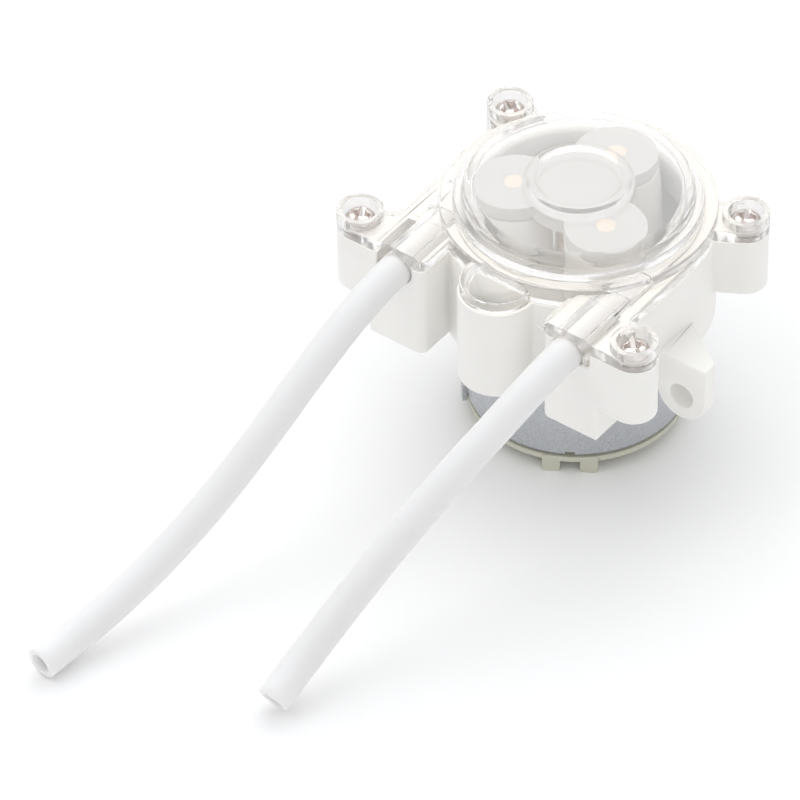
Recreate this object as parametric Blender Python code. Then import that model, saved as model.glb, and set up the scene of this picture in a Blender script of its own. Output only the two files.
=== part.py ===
"""Peristaltic pump: a three-roller pump head on a small DC motor, with its tube and two free hoses.

The origin is on the pump's axis, at the surface that the motor's end cap stands on. +Z runs up the
shaft and the two hoses leave the head towards -Y. Shapes are modelled in millimetres, and named()
scales each finished piece to metres.
"""

from math import asin, atan2, cos, degrees, hypot, pi, radians, sin, sqrt

import bmesh
import bpy
from mathutils import Matrix, Vector

MM = 0.001
GAP = 0.1  # between pieces that are fastened together

# Heights along the shaft
CAP_RIM_BOTTOM = 2.0
CAN_BOTTOM = 3.1
CAN_TOP = 22.4
BODY_BOTTOM = 18.9
BLOCK_BOTTOM = 19.25
BOSS_BOTTOM = 24.9
FLOOR_BOTTOM = 22.6
FLOOR_TOP = 24.5
BASE_TOP = 34.3
COVER_BOTTOM = BASE_TOP + GAP
PLATE_TOP = 36.2
FLANGE_TOP = 37.5
STEP_TOP = 38.7
DRUM_EDGE = 39.9
DRUM_TOP = 41.2
BEAD_TOP = 41.5

# Pump head, in plan
BODY_RADIUS = 19.55
CHAMBER_RADIUS = 17.4
WALL_X = BODY_RADIUS  # the outer side of each tube block runs straight forward from the round body
BLOCK_INNER_X = 10.2
BLOCK_CORNER_RADIUS = 1.3
LOBE_Y = -19.2
LOBE_RADIUS = 5.6
POCKET_RADIUS = 4.2
POCKET_BACK_Y = -18.3
BOSS_RADIUS = 3.34
BOSS_FILLET = 1.86
BOSS_STEP = 11.25  # degrees between the corners of a boss's outline
FRONT_BOSS = (23.4, -19.6)
BACK_BOSS = (20.35, 11.6)
FRONT_Y = FRONT_BOSS[1] - BOSS_RADIUS
EAR_HOLE = (23.25, 18.5)  # x and z; the hole runs along y
EAR_HOLE_RADIUS = 1.95
EAR_RADIUS = 4.0
EAR_TOP = 24.8
EAR_FRONT_Y = -7.8
EAR_TIP_BACK_Y = -5.3
EAR_ROOT_BACK_Y = 0.6

# Tube
TUBE_X = 14.6
TUBE_Z = 33.2
TUBE_DIAMETER = 4.8
TUBE_WALL = 1.0
TRACK_CENTRE_RADIUS = 16.1
FLAT_THICKNESS = 2.2
FLAT_HEIGHT = 6.4
SLOT_RADIUS = 2.6
SLOT_BACK_Y = -11.0
CHANNEL_INNER_X = 11.6  # behind the round slot, a straight-sided channel leads into the chamber
CHANNEL_FLOOR = 29.4
TRANSITION = (3.0, 11.0)  # distances in front of the shaft between which the tube turns from flat to round

# Top cover
STEP_RADIUS = 17.6
DRUM_RADIUS = 16.35
DRUM_BORE = 15.1
CAVITY_TOP = 39.6
CLAMP_TOP = 36.8
CLAMP_BACK_Y = -15.5
CLAMP_LEG_X = (TUBE_X + 2.0, TUBE_X + 3.45)
CLAMP_LEG_BOTTOM = 32.0
HOOD_RADIUS = 5.3
HOOD_TOP = 37.3
POCKET_TOP = 36.4

# Rotor
ROLLER_COUNT = 3
ROLLER_RADIUS = 5.7
ROLLER_PITCH = 9.0
ROLLER_BOTTOM = 28.1
ROLLER_TOP = 37.1
PIN_RADIUS = 1.1
LOWER_CARRIER = (26.0, 27.8)
LOWER_CARRIER_RADIUS = 13.0
UPPER_CARRIER = (37.4, 38.8)
UPPER_CARRIER_RADIUS = 7.6
LOBE_OVER_ROLLER = 5.8
HUB_RADIUS = 2.7
HUB_TOP = 39.2
SLEEVE_RADIUS = 3.0

# Motor
CAN_RADIUS = 16.0
CAN_BORE = 15.0
SHAFT_RADIUS = 1.0
SHAFT_ENDS = (1.2, 38.3)
POLE_COUNT = 3
BEARING_BORE = 1.3
BUSH_RADIUS = 2.5
CORE = (8.0, 17.0)
CORE_RADIUS = 11.8
MAGNET = (12.4, 14.8)
MOTOR_SCREW_X = 8.5
KEY_ANGLE = radians(-58)
CRIMP_ANGLES = (209.0, 226.5)  # degrees

# Fasteners
SCREW_HEAD_RADIUS = 2.35
SCREW_HEAD_BOTTOM = 35.3
SCREW_HEAD_TOP = 36.8
SCREW_SHANK_RADIUS = 1.2
SCREW_END = 27.5

# Routes of the free hoses: straight out of the head, then down to the cut end that lies on the surface
INLET_ROUTE = (
    (-14.6, -23.24, 33.2), (-14.6, -25.5, 33.1), (-14.85, -31.7, 31.6), (-15.4, -38.0, 28.8),
    (-16.1, -44.0, 25.3), (-17.2, -50.9, 20.5), (-18.95, -58.2, 14.9), (-20.45, -64.3, 11.0),
    (-22.0, -70.4, 7.7), (-23.7, -77.45, 4.9), (-25.15, -83.5, 3.2), (-26.05, -89.4, 2.5),
)
OUTLET_ROUTE = (
    (14.6, -23.24, 33.2), (14.6, -25.5, 33.1), (14.0, -32.0, 31.4), (12.9, -38.1, 28.6),
    (11.45, -44.3, 25.2), (9.8, -50.4, 21.1), (7.9, -56.55, 16.3), (6.05, -62.9, 11.0),
    (4.55, -69.2, 6.1), (3.9, -76.2, 2.5),
)
HOSE_STEP = 11.0  # spacing of the points that the hose is swept through

SEGMENTS_LARGE = 48
SEGMENTS_MEDIUM = 24
SEGMENTS_SMALL = 12


# ---------------------------------------------------------------- shapes

def object_from(bm):
    """A new object whose mesh is the bmesh, with its faces turned outwards."""
    bmesh.ops.recalc_face_normals(bm, faces=bm.faces)
    mesh = bpy.data.meshes.new("shape")
    bm.to_mesh(mesh)
    bm.free()
    shape = bpy.data.objects.new("shape", mesh)
    bpy.context.scene.collection.objects.link(shape)
    return shape


def turned(profile, segments=SEGMENTS_LARGE, centre=(0.0, 0.0)):
    """The solid that a closed outline of (radius, z) points sweeps round a vertical axis.

    Away from the pump's axis it starts half a step round, so that its corners miss centred solids' corners.
    """
    bm = bmesh.new()
    phase = 0.5 if any(centre) else 0
    rings = []
    for radius, z in profile:
        count = segments if radius > 0 else 1
        rings.append([
            bm.verts.new((
                centre[0] + radius * cos(2 * pi * (i + phase) / segments),
                centre[1] + radius * sin(2 * pi * (i + phase) / segments),
                z,
            ))
            for i in range(count)
        ])
    for lower, upper in zip(rings, rings[1:] + rings[:1]):
        for i in range(segments):
            corners = [
                lower[i % len(lower)], lower[(i + 1) % len(lower)],
                upper[(i + 1) % len(upper)], upper[i % len(upper)],
            ]
            corners = list(dict.fromkeys(corners))
            if len(corners) > 2:
                bm.faces.new(corners)
    return object_from(bm)


def cylinder(radius, bottom, top, centre=(0.0, 0.0), segments=SEGMENTS_MEDIUM):
    return turned([(0, bottom), (radius, bottom), (radius, top), (0, top)], segments, centre)


def tube_ring(outer, inner, bottom, top, segments=SEGMENTS_MEDIUM):
    return turned([(outer, bottom), (outer, top), (inner, top), (inner, bottom)], segments)


def prism(outline, start, end, axis="Z"):
    """A flat outline extruded along Z, or, where the outline is in x and z, along Y."""
    bm = bmesh.new()
    if axis == "Z":
        corners = [bm.verts.new((x, y, start)) for x, y in outline]
        along = (0, 0, end - start)
    else:
        corners = [bm.verts.new((x, start, z)) for x, z in outline]
        along = (0, end - start, 0)
    face = bm.faces.new(corners)
    moved = bmesh.ops.extrude_face_region(bm, geom=[face])["geom"]
    bmesh.ops.translate(bm, vec=along, verts=[v for v in moved if isinstance(v, bmesh.types.BMVert)])
    return object_from(bm)


def box(xs, ys, zs):
    x0, x1 = sorted(xs)
    y0, y1 = sorted(ys)
    return prism([(x0, y0), (x1, y0), (x1, y1), (x0, y1)], *sorted(zs))


def arc(centre, radius, start, end, steps):
    """Points on a circle, from the start angle to the end angle in degrees."""
    angles = [radians(start + (end - start) * i / steps) for i in range(steps + 1)]
    return [(centre[0] + radius * cos(a), centre[1] + radius * sin(a)) for a in angles]


def stacked(outline, radius, bottom, top, rounding):
    """A prism whose outline is a function of a radius, with its top edge rounded off in two flats."""
    bm = bmesh.new()
    levels = [
        (radius, bottom), (radius, top - rounding), (radius - 0.3 * rounding, top - 0.3 * rounding),
        (radius - rounding, top),
    ]
    rings = [[bm.verts.new((x, y, z)) for x, y in outline(reach)] for reach, z in levels]
    for lower, upper in zip(rings, rings[1:]):
        for i in range(len(lower)):
            j = (i + 1) % len(lower)
            bm.faces.new((lower[i], lower[j], upper[j], upper[i]))
    bm.faces.new(rings[0])
    bm.faces.new(rings[-1])
    return object_from(bm)


def turn(shape, angle):
    shape.data.transform(Matrix.Rotation(angle, 4, "Z"))
    return shape


def mirrored(shape):
    """The shape on the other side of x = 0."""
    shape.data.transform(Matrix.Scale(-1, 4, (1, 0, 0)))
    shape.data.flip_normals()
    return shape


def combine(shape, tool, operation):
    """Applies a Boolean and removes the tool. MANIFOLD copes with the many faces that share a plane."""
    modifier = shape.modifiers.new("combine", "BOOLEAN")
    modifier.operation = operation
    modifier.solver = "MANIFOLD"
    modifier.object = tool
    bpy.context.view_layer.update()
    graph = bpy.context.evaluated_depsgraph_get()
    result = bpy.data.meshes.new_from_object(shape.evaluated_get(graph))
    shape.modifiers.remove(modifier)
    shape.data = result
    bpy.data.objects.remove(tool)
    return shape


def unite(shape, tool):
    return combine(shape, tool, "UNION")


def cut(shape, tool):
    return combine(shape, tool, "DIFFERENCE")


# ---------------------------------------------------------------- materials and placing

def material(name, colour, roughness, metallic=0.0, transmission=0.0):
    made = bpy.data.materials.new(name)
    made.use_nodes = True
    shader = made.node_tree.nodes["Principled BSDF"]
    shader.inputs["Base Color"].default_value = (*colour, 1)
    shader.inputs["Roughness"].default_value = roughness
    shader.inputs["Metallic"].default_value = metallic
    shader.inputs["Transmission Weight"].default_value = transmission
    return made


def empty(name):
    made = bpy.data.objects.new(name, None)
    bpy.context.scene.collection.objects.link(made)
    return made


def named(shape, name, finish, parent, origin=(0.0, 0.0, 0.0)):
    """Names a finished piece, puts its origin on its joint's axis, and gives it its material."""
    shape.name = name
    shape.data.name = name
    shape.data.transform(Matrix.Scale(MM, 4) @ Matrix.Translation(-Vector(origin)))
    shape.location = Vector(origin) * MM
    shape.parent = parent
    shape.data.materials.clear()
    shape.data.materials.append(material(name, *finish))
    shape.data.shade_smooth()
    shape.data.set_sharp_from_angle(angle=radians(30))
    return shape


# ---------------------------------------------------------------- pump housing in plan

def block_outline():
    """One tube block, with its inner front corner rounded."""
    corner = (BLOCK_INNER_X + BLOCK_CORNER_RADIUS, FRONT_Y + BLOCK_CORNER_RADIUS)
    rounded = arc(corner, BLOCK_CORNER_RADIUS, 180, 270, 4)
    return rounded + [(WALL_X, FRONT_Y), (WALL_X, 0.0), (BLOCK_INNER_X, 0.0)]


def front_boss_outline():
    """A screw boss flush with the front of its block, and filleted to the block's side behind."""
    fillet_x = WALL_X + BOSS_FILLET
    across = fillet_x - FRONT_BOSS[0]
    back = sqrt((BOSS_RADIUS + BOSS_FILLET) ** 2 - across ** 2)
    contact = degrees(atan2(back, across))
    fillet_centre = (fillet_x, FRONT_BOSS[1] + back)
    outline = arc(FRONT_BOSS, BOSS_RADIUS, -90, contact, round((contact + 90) / BOSS_STEP))
    outline += arc(fillet_centre, BOSS_FILLET, contact - 180, -180, 4)[1:]
    inside = WALL_X - 1.2
    return outline + [(inside, fillet_centre[1]), (inside, FRONT_Y)]


def back_boss_outline():
    """A screw boss on a web of its own width, along x from the body."""
    inside = BODY_RADIUS - 1.5
    outline = arc((hypot(*BACK_BOSS), 0), BOSS_RADIUS, -90, 90, round(180 / BOSS_STEP))
    return outline + [(inside, BOSS_RADIUS), (inside, -BOSS_RADIUS)]


def to_back_boss(shape):
    """Turns a shape on the x axis round to the back right screw."""
    return turn(shape, atan2(BACK_BOSS[1], BACK_BOSS[0]))


def lobe_outline(radius):
    """The round lobe between the tube blocks, and its straight sides back into the body."""
    return arc((0, LOBE_Y), radius, 180, 360, 12) + [(radius, -CHAMBER_RADIUS), (-radius, -CHAMBER_RADIUS)]


def pocket_outline(radius):
    """The lobe's pocket: round in front and straight behind, where the chamber's wall passes."""
    reach = degrees(asin((POCKET_BACK_Y - LOBE_Y) / radius))
    return arc((0, LOBE_Y), radius, 180 - reach, 360 + reach, 14)


def footprint(top, body, block, boss, lobe_radius):
    """The housing's shape, from a bottom height for the body, the blocks and the bosses up to one top."""
    shape = cylinder(BODY_RADIUS, body, top, segments=SEGMENTS_LARGE)
    unite(shape, prism(lobe_outline(lobe_radius), block, top))
    for flip in (False, True):
        pieces = [
            prism(block_outline(), block, top),
            prism(front_boss_outline(), boss, top),
            to_back_boss(prism(back_boss_outline(), boss, top)),
        ]
        for piece in pieces:
            unite(shape, mirrored(piece) if flip else piece)
    return shape


# ---------------------------------------------------------------- pump housing

def ear():
    """A mounting lug: a round-ended plate, thick where it meets the wall and thin at its outer edge."""
    x, z = EAR_HOLE
    edge = x + EAR_RADIUS
    plate = prism(
        [(x - EAR_RADIUS, EAR_TOP)] + arc(EAR_HOLE, EAR_RADIUS, 180, 360, 10) + [(edge, EAR_TOP)],
        EAR_FRONT_Y, 1.0, axis="Y",
    )
    wedge = [
        (x - 5, EAR_FRONT_Y), (edge, EAR_FRONT_Y), (edge, EAR_TIP_BACK_Y), (WALL_X, EAR_ROOT_BACK_Y),
        (x - 5, EAR_ROOT_BACK_Y),
    ]
    combine(plate, prism(wedge, EAR_HOLE[1] - 8, EAR_TOP + 5), "INTERSECT")
    root = ((WALL_X - 2, x - EAR_RADIUS + 0.5), (EAR_FRONT_Y, EAR_ROOT_BACK_Y))
    unite(plate, box(*root, (BODY_RADIUS - 0.1, EAR_TOP)))
    return plate


def ear_hole():
    return prism(arc(EAR_HOLE, EAR_HOLE_RADIUS, 0, 345, 23), -12, 4, axis="Y")


def tube_slot(side, front, back, half_width, top):
    """The space of a straight tube: round below, open upwards."""
    x = side * TUBE_X
    round_part = arc((x, TUBE_Z), half_width, 180, 360, 12)
    return prism([*round_part, (x + half_width, top), (x - half_width, top)], front, back, axis="Y")


def pump_base():
    shape = footprint(BASE_TOP, BODY_BOTTOM, BLOCK_BOTTOM, BOSS_BOTTOM, LOBE_RADIUS)
    unite(shape, ear())
    unite(shape, mirrored(ear()))
    cut(shape, cylinder(CHAMBER_RADIUS, FLOOR_TOP, BASE_TOP + 1, segments=SEGMENTS_LARGE))
    cut(shape, cylinder(CAN_RADIUS + 0.2, BODY_BOTTOM - 1, FLOOR_BOTTOM, segments=SEGMENTS_LARGE))
    cut(shape, cylinder(3.5, FLOOR_BOTTOM - 1, FLOOR_TOP + 1))
    cut(shape, prism(pocket_outline(POCKET_RADIUS), BLOCK_BOTTOM + 2, BASE_TOP + 1))
    for side in (-1, 1):
        cut(shape, tube_slot(side, FRONT_Y - 1, SLOT_BACK_Y, SLOT_RADIUS, BASE_TOP + 1))
        channel = ((side * CHANNEL_INNER_X, side * CHAMBER_RADIUS), (SLOT_BACK_Y - 1, 0))
        cut(shape, box(*channel, (CHANNEL_FLOOR, BASE_TOP + 1)))
        leg_room = ((side * TUBE_X, side * (CLAMP_LEG_X[1] + 0.15)), (FRONT_Y - 1, CLAMP_BACK_Y + 0.2))
        cut(shape, box(*leg_room, (CLAMP_LEG_BOTTOM - 0.2, BASE_TOP + 1)))
        hole = (side * MOTOR_SCREW_X, 0)
        cut(shape, cylinder(1.25, FLOOR_BOTTOM - 1, FLOOR_TOP + 1, hole, SEGMENTS_SMALL))
        for x, y in (FRONT_BOSS, BACK_BOSS):
            thread = (SCREW_SHANK_RADIUS + 0.1, SCREW_END - 0.5, BASE_TOP + 1)
            cut(shape, cylinder(*thread, (side * x, y), SEGMENTS_SMALL))
    cut(shape, ear_hole())
    cut(shape, mirrored(ear_hole()))
    return shape


def clamp_block(side):
    """The thick part of the cover that presses on one tube, with the leg that fills the base's notch."""
    inner = 10.6
    outer = 18.4
    chamfer = 0.7
    outline = [
        (inner, PLATE_TOP - 1), (outer, PLATE_TOP - 1), (outer, CLAMP_TOP - chamfer),
        (outer - chamfer, CLAMP_TOP), (inner + chamfer, CLAMP_TOP), (inner, CLAMP_TOP - chamfer),
    ]
    shape = prism(outline, FRONT_Y, CLAMP_BACK_Y, axis="Y")
    bridge = box((TUBE_X - 3.3, TUBE_X + 3.3), (CLAMP_BACK_Y - 1, -7), (PLATE_TOP - 1, CLAMP_TOP - 0.1))
    leg = box(CLAMP_LEG_X, (FRONT_Y, CLAMP_BACK_Y), (CLAMP_LEG_BOTTOM, PLATE_TOP - 0.5))
    unite(shape, bridge)
    unite(shape, leg)
    return shape if side > 0 else mirrored(shape)


def boss_turrets():
    """The rings round the two right-hand cover screws, with the same corners as the bosses below them."""
    last = 360 - BOSS_STEP
    shapes = []
    for centre in (FRONT_BOSS, (hypot(*BACK_BOSS), 0)):
        outline = arc(centre, BOSS_RADIUS, -90, last - 90, round(last / BOSS_STEP))
        shapes.append(prism(outline, COVER_BOTTOM, FLANGE_TOP))
    return shapes[0], to_back_boss(shapes[1])


def top_cover():
    plate = footprint(PLATE_TOP, COVER_BOTTOM, COVER_BOTTOM, COVER_BOTTOM, HOOD_RADIUS)
    dome = [
        (0, COVER_BOTTOM), (BODY_RADIUS, COVER_BOTTOM), (BODY_RADIUS, FLANGE_TOP),
        (STEP_RADIUS, FLANGE_TOP), (STEP_RADIUS, STEP_TOP), (DRUM_RADIUS, STEP_TOP),
        (DRUM_RADIUS, DRUM_EDGE), (DRUM_RADIUS - 0.45, DRUM_TOP - 0.6), (DRUM_RADIUS - 1.15, DRUM_TOP),
    ]
    bead = [(7.8, DRUM_TOP), (7.1, BEAD_TOP), (6.4, BEAD_TOP), (5.7, DRUM_TOP), (0, DRUM_TOP)]
    unite(plate, turned(dome + bead))
    unite(plate, stacked(lobe_outline, HOOD_RADIUS, COVER_BOTTOM, HOOD_TOP, 2.0))
    for side in (-1, 1):
        unite(plate, clamp_block(side))
        for turret in boss_turrets():
            unite(plate, turret if side > 0 else mirrored(turret))
    below = COVER_BOTTOM - 1
    shoulder = FLANGE_TOP - 0.3
    cavity = [
        (0, below), (CHAMBER_RADIUS, below), (CHAMBER_RADIUS, shoulder), (DRUM_BORE, shoulder),
        (DRUM_BORE, CAVITY_TOP - 0.4), (DRUM_BORE - 0.4, CAVITY_TOP), (0, CAVITY_TOP),
    ]
    cut(plate, turned(cavity))
    cut(plate, stacked(pocket_outline, POCKET_RADIUS, below, POCKET_TOP, 1.0))
    for side in (-1, 1):
        tube = arc((side * TUBE_X, TUBE_Z), TUBE_DIAMETER / 2 + 0.1, 0, 180, 12)
        left, right = tube[-1][0], tube[0][0]
        deep = CLAMP_LEG_BOTTOM - 1
        cut(plate, prism([*tube, (left, deep), (right, deep)], FRONT_Y - 1, SLOT_BACK_Y, axis="Y"))
        channel = (side * (CHANNEL_INNER_X + 0.2), side * (CHAMBER_RADIUS - 0.1))
        cut(plate, box(channel, (SLOT_BACK_Y - 1, -7), (deep, PLATE_TOP - 0.05)))
        cut(plate, box(channel, (-7.1, 0), (deep, FLANGE_TOP - 0.7)))
        for x, y in (FRONT_BOSS, BACK_BOSS):
            hole = (side * x, y)
            cut(plate, cylinder(2.5, SCREW_HEAD_BOTTOM - GAP, FLANGE_TOP + 1, hole))
            cut(plate, cylinder(SCREW_SHANK_RADIUS + 0.2, below, FLANGE_TOP, hole, SEGMENTS_SMALL))
    return plate


def screw(radius, head_bottom, head_top, shank_radius, end):
    """A pan-head screw on the Z axis, with a cross recess."""
    crown = head_top - head_bottom
    shape = turned([
        (0, end), (shank_radius, end), (shank_radius, head_bottom), (radius, head_bottom),
        (radius, head_bottom + 0.45 * crown), (0.8 * radius, head_bottom + 0.85 * crown),
        (0.4 * radius, head_top), (0, head_top),
    ], SEGMENTS_SMALL)
    arm = 0.6 * radius
    blade = 0.15 * radius
    recess = box((-arm, arm), (-blade, blade), (head_top - 0.55 * crown, head_top + 1))
    unite(recess, box((-blade, blade), (-arm, arm), (head_top - 0.55 * crown, head_top + 1)))
    return cut(shape, recess)


def cover_screw(position):
    shape = screw(SCREW_HEAD_RADIUS, SCREW_HEAD_BOTTOM, SCREW_HEAD_TOP, SCREW_SHANK_RADIUS, SCREW_END)
    turn(shape, radians(18))
    shape.data.transform(Matrix.Translation((*position, 0)))
    return shape


# ---------------------------------------------------------------- tube and hoses

def blend(distance):
    """0 where the tube is flat, 1 where it is round, with a smooth step between."""
    start, end = TRANSITION
    share = min(max((distance - start) / (end - start), 0), 1)
    return share * share * (3 - 2 * share)


def tube_stations():
    """The tube's sections along its loop through the head: centre, sideways direction, width, height."""
    front = FRONT_Y
    stations = []
    straight = [front, -16.5, -11.0, -9.5, -8.0, -6.5, -5.0, -3.0, -1.0]
    for y in straight:
        share = blend(-y)
        x = TRACK_CENTRE_RADIUS + (TUBE_X - TRACK_CENTRE_RADIUS) * share
        width = FLAT_THICKNESS + (TUBE_DIAMETER - FLAT_THICKNESS) * share
        height = FLAT_HEIGHT + (TUBE_DIAMETER - FLAT_HEIGHT) * share
        stations.append((Vector((-x, y, TUBE_Z)), Vector((-1, 0, 0)), width, height))
    turns = 18
    bend = []
    for i in range(turns + 1):
        angle = pi - pi * i / turns
        outward = Vector((cos(angle), sin(angle), 0))
        centre = outward * TRACK_CENTRE_RADIUS + Vector((0, 0, TUBE_Z))
        bend.append((centre, outward, FLAT_THICKNESS, FLAT_HEIGHT))
    back = [
        (Vector((-centre.x, centre.y, centre.z)), Vector((1, 0, 0)), width, height)
        for centre, _, width, height in reversed(stations)
    ]
    return stations + bend + back


def section(centre, outward, width, height, sides=12):
    """A stadium-like section: round when width equals height, flat-sided when it is narrow."""
    radius = width / 2
    straight = height / 2 - radius
    points = []
    for i in range(sides):
        angle = 2 * pi * (i + 0.5) / sides
        rise = straight if sin(angle) > 0 else -straight
        sideways = outward * (radius * cos(angle))
        points.append(centre + sideways + Vector((0, 0, radius * sin(angle) + rise)))
    return points


def pump_tube():
    bm = bmesh.new()
    outer = []
    inner = []
    for centre, outward, width, height in tube_stations():
        bore = (width - 2 * TUBE_WALL, height - 2 * TUBE_WALL)
        outer.append([bm.verts.new(p) for p in section(centre, outward, width, height)])
        inner.append([bm.verts.new(p) for p in section(centre, outward, *bore)])
    for rings in (outer, inner):
        for first, second in zip(rings, rings[1:]):
            for i in range(len(first)):
                j = (i + 1) % len(first)
                bm.faces.new((first[i], first[j], second[j], second[i]))
    for end in (0, -1):
        for i in range(len(outer[end])):
            j = (i + 1) % len(outer[end])
            bm.faces.new((outer[end][i], outer[end][j], inner[end][j], inner[end][i]))
    return object_from(bm)


def smooth_route(route, step):
    """Evenly spaced points of the Catmull-Rom curve through the route's points."""
    points = [Vector(p) for p in route]
    points = [2 * points[0] - points[1], *points, 2 * points[-1] - points[-2]]
    fine = []
    for a, b, c, d in zip(points, points[1:], points[2:], points[3:]):
        for i in range(20):
            t = i / 20
            bend = (2 * a - 5 * b + 4 * c - d) * t * t
            twist = (3 * b - a - 3 * c + d) * t ** 3
            fine.append((2 * b + (c - a) * t + bend + twist) / 2)
    fine.append(points[-2])
    lengths = [0.0]
    for a, b in zip(fine, fine[1:]):
        lengths.append(lengths[-1] + (b - a).length)
    count = max(2, round(lengths[-1] / step) + 1)
    even = []
    for i in range(count):
        wanted = lengths[-1] * i / (count - 1)
        k = max(j for j in range(len(lengths) - 1) if lengths[j] <= wanted)
        share = (wanted - lengths[k]) / (lengths[k + 1] - lengths[k])
        even.append(fine[k].lerp(fine[k + 1], share))
    return even


def hose(name, route, parent):
    """A free hose: a curve with a round bevel and filled ends, square to the head where it starts."""
    curve = bpy.data.curves.new(name, "CURVE")
    curve.dimensions = "3D"
    curve.bevel_depth = TUBE_DIAMETER / 2 * MM
    curve.bevel_resolution = 4
    curve.use_fill_caps = True
    spline = curve.splines.new("POLY")
    start = Vector(route[0])
    points = [start, Vector((start.x, route[1][1], start.z)), *smooth_route(route[1:], HOSE_STEP)[1:]]
    spline.points.add(len(points) - 1)
    for point, place in zip(spline.points, points):
        point.co = (*(place * MM), 1)
    made = bpy.data.objects.new(name, curve)
    bpy.context.scene.collection.objects.link(made)
    made.parent = parent
    curve.materials.append(material(name, *SILICONE))
    return made


# ---------------------------------------------------------------- rotor

def roller_centres():
    angles = [radians(90 + 360 * i / ROLLER_COUNT) for i in range(ROLLER_COUNT)]
    return [(ROLLER_PITCH * cos(a), ROLLER_PITCH * sin(a)) for a in angles]


def roller(centre):
    lip = 0.5
    return turned([
        (ROLLER_RADIUS - lip, ROLLER_BOTTOM), (ROLLER_RADIUS, ROLLER_BOTTOM + lip),
        (ROLLER_RADIUS, ROLLER_TOP - lip), (ROLLER_RADIUS - lip, ROLLER_TOP),
        (PIN_RADIUS + 0.35, ROLLER_TOP), (PIN_RADIUS + 0.35, ROLLER_BOTTOM),
    ], SEGMENTS_MEDIUM, centre)


def roller_pin(centre):
    bottom = LOWER_CARRIER[0] + GAP
    head = UPPER_CARRIER[1] + GAP
    return turned([
        (0, bottom), (PIN_RADIUS, bottom), (PIN_RADIUS, head), (PIN_RADIUS + 0.5, head),
        (PIN_RADIUS + 0.3, head + 0.3), (0, head + 0.3),
    ], SEGMENTS_SMALL, centre)


def with_pin_holes(shape):
    for centre in roller_centres():
        cut(shape, cylinder(PIN_RADIUS + GAP, 20, 45, centre, SEGMENTS_SMALL))
    return shape


def lower_carrier():
    return with_pin_holes(tube_ring(LOWER_CARRIER_RADIUS, SLEEVE_RADIUS + 0.5, *LOWER_CARRIER))


def upper_carrier():
    """A three-lobed plate over the rollers, with a closed hub over the shaft's end."""
    shape = cylinder(UPPER_CARRIER_RADIUS, *UPPER_CARRIER)
    unite(shape, cylinder(HUB_RADIUS, UPPER_CARRIER[0], HUB_TOP))
    for centre in roller_centres():
        unite(shape, cylinder(LOBE_OVER_ROLLER, *UPPER_CARRIER, centre))
    cut(shape, cylinder(SHAFT_RADIUS + 0.6, 30, SHAFT_ENDS[1] + 0.3, segments=SEGMENTS_SMALL))
    return with_pin_holes(shape)


# ---------------------------------------------------------------- motor

def crimp_tab(inner, bottom):
    """A tab outside the can, which reaches down over the end cap's rim."""
    outline = arc((0, 0), CAN_RADIUS + 0.65, *CRIMP_ANGLES, 4)
    outline += arc((0, 0), inner, *CRIMP_ANGLES[::-1], 4)
    return prism(outline, bottom, CAN_BOTTOM + 1.8)


def motor_can():
    shape = turned([
        (15.7, CAN_BOTTOM), (CAN_RADIUS, CAN_BOTTOM + 0.5), (CAN_RADIUS, CAN_TOP - 1), (15.2, CAN_TOP),
        (3.2, CAN_TOP), (3.2, 24.0), (BUSH_RADIUS + GAP, 24.0), (BUSH_RADIUS + GAP, 21.2),
        (14.2, 21.2), (CAN_BORE, 20.4), (CAN_BORE, CAN_BOTTOM),
    ])
    notch = box((CAN_BORE - 1, CAN_RADIUS + 1), (-0.7, 0.7), (CAN_BOTTOM - 1, CAN_BOTTOM + 1))
    cut(shape, turn(notch, KEY_ANGLE))
    unite(shape, crimp_tab(CAN_RADIUS - 0.4, CAN_BOTTOM + 0.3))
    unite(shape, crimp_tab(CAN_RADIUS, CAP_RIM_BOTTOM + 0.1))
    for side in (-1, 1):
        cut(shape, cylinder(1.2, 20, 24, (side * MOTOR_SCREW_X, 0), SEGMENTS_SMALL))
    return shape


def foot(angle, offset):
    """A short post under the end cap's rim, with its bottom corners cut back."""
    half = 1.28
    corner = 0.5
    shape = prism(
        [(offset - half, 2.9), (offset - half, corner), (offset - half + corner, 0),
         (offset + half - corner, 0), (offset + half, corner), (offset + half, 2.9)],
        -15.65, -13.6, axis="Y",
    )
    return turn(shape, angle + pi / 2)


def motor_end_cap():
    rim = 15.9
    spigot = CAN_BORE - 0.15
    shape = turned([
        (0, 0), (3.0, 0), (3.4, 0.4), (3.4, CAP_RIM_BOTTOM), (rim - 0.3, CAP_RIM_BOTTOM),
        (rim, CAP_RIM_BOTTOM + 0.3), (rim, CAN_BOTTOM - GAP), (spigot, CAN_BOTTOM - GAP), (spigot, 5.0),
        (13.6, 5.0), (13.6, 3.8), (4.0, 3.8), (4.0, 4.3), (BUSH_RADIUS + GAP, 4.3),
        (BUSH_RADIUS + GAP, 1.8), (1.5, 1.8), (1.5, 0.9), (0, 0.9),
    ])
    for angle in (KEY_ANGLE, KEY_ANGLE + pi):
        for offset in (-2.68, 2.68):
            unite(shape, foot(angle, offset))
    for side in (-1, 1):
        cut(shape, box((8.6, 11.4), (side * 2.8, side * 3.8), (1, 6)))
    return shape


def bush(bottom, top):
    return tube_ring(BUSH_RADIUS, BEARING_BORE, bottom, top, segments=SEGMENTS_SMALL)


def magnet(middle):
    """An arc-shaped magnet, centred on an angle in degrees."""
    inner, outer = MAGNET
    half = 65
    outline = arc((0, 0), inner, middle - half, middle + half, 14)
    outline += arc((0, 0), outer, middle + half, middle - half, 14)
    return prism(outline, 6.0, 19.5)


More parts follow.
